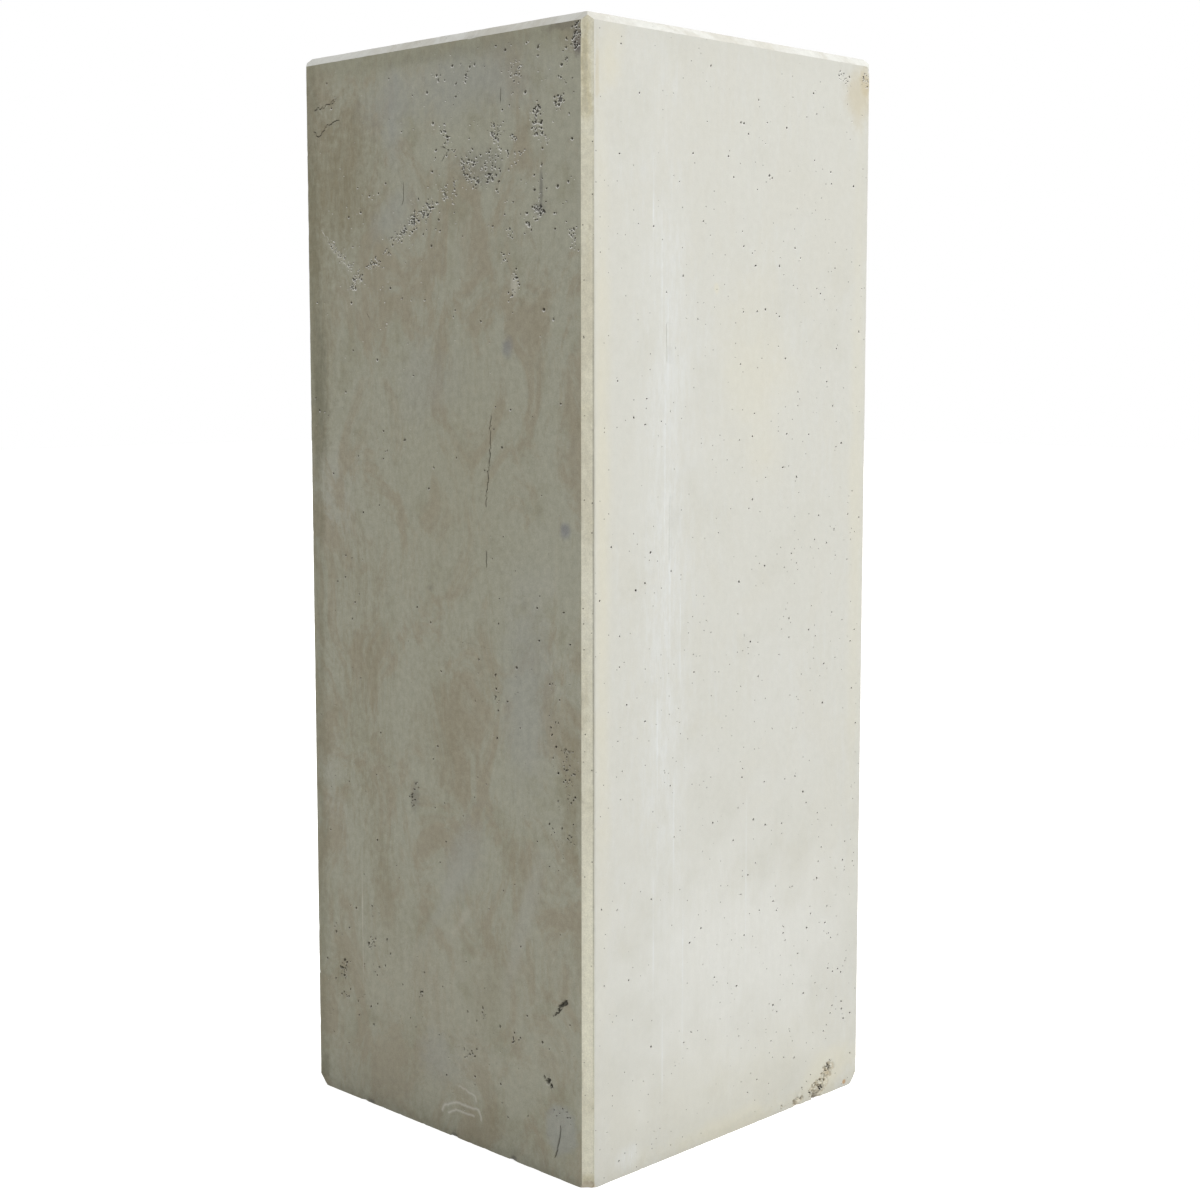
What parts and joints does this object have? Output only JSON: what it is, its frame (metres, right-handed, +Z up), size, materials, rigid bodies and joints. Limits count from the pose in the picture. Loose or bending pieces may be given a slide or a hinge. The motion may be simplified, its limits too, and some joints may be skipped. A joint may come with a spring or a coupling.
{
  "type": "precast concrete barrier block",
  "caption": "Tall square precast concrete barrier block standing on end, with chamfered arrises, a tied bar cage inside and threaded lifting sockets in its top.",
  "frame": {"origin": "centre of the underside, on the ground that the block stands on", "axes": "+Z up along the block's height; -Y is the front face, -X the left face, +Y the back and +X the right"},
  "size_m": [0.8, 0.8, 2.08],
  "materials": {
    "concrete": "off-the-form concrete with bugholes, honeycomb patches and vertical weather streaks",
    "reinforcing_steel": "hot-rolled bar with light rust",
    "tying_wire": "black annealed wire",
    "spacer_plastic": "recycled dark grey moulding",
    "mortar": "cast mortar",
    "socket_steel": "zinc-plated steel, dulled"
  },
  "bodies": {
    "root": {"concrete_block": "concrete", "corner_bar_front_left": "reinforcing_steel", "corner_bar_front_right": "reinforcing_steel", "corner_bar_back_right": "reinforcing_steel", "corner_bar_back_left": "reinforcing_steel", "face_bar_front": "reinforcing_steel", "face_bar_right": "reinforcing_steel", "face_bar_back": "reinforcing_steel", "face_bar_left": "reinforcing_steel", "link_1": "reinforcing_steel", "link_2": "reinforcing_steel", "link_3": "reinforcing_steel", "link_4": "reinforcing_steel", "link_5": "reinforcing_steel", "link_6": "reinforcing_steel", "link_7": "reinforcing_steel", "link_8": "reinforcing_steel", "tie_wires_1": "tying_wire", "tie_wires_2": "tying_wire", "tie_wires_3": "tying_wire", "tie_wires_4": "tying_wire", "tie_wires_5": "tying_wire", "tie_wires_6": "tying_wire", "tie_wires_7": "tying_wire", "tie_wires_8": "tying_wire", "spacer_wheels_front": "spacer_plastic", "spacer_wheels_right": "spacer_plastic", "spacer_wheels_back": "spacer_plastic", "spacer_wheels_left": "spacer_plastic", "seat_block_front_left": "mortar", "seat_block_front_right": "mortar", "seat_block_back_right": "mortar", "seat_block_back_left": "mortar", "lifting_socket_left": "socket_steel", "lifting_socket_right": "socket_steel", "tail_bar_left": "reinforcing_steel", "tail_bar_right": "reinforcing_steel"}
  },
  "joints": []
}
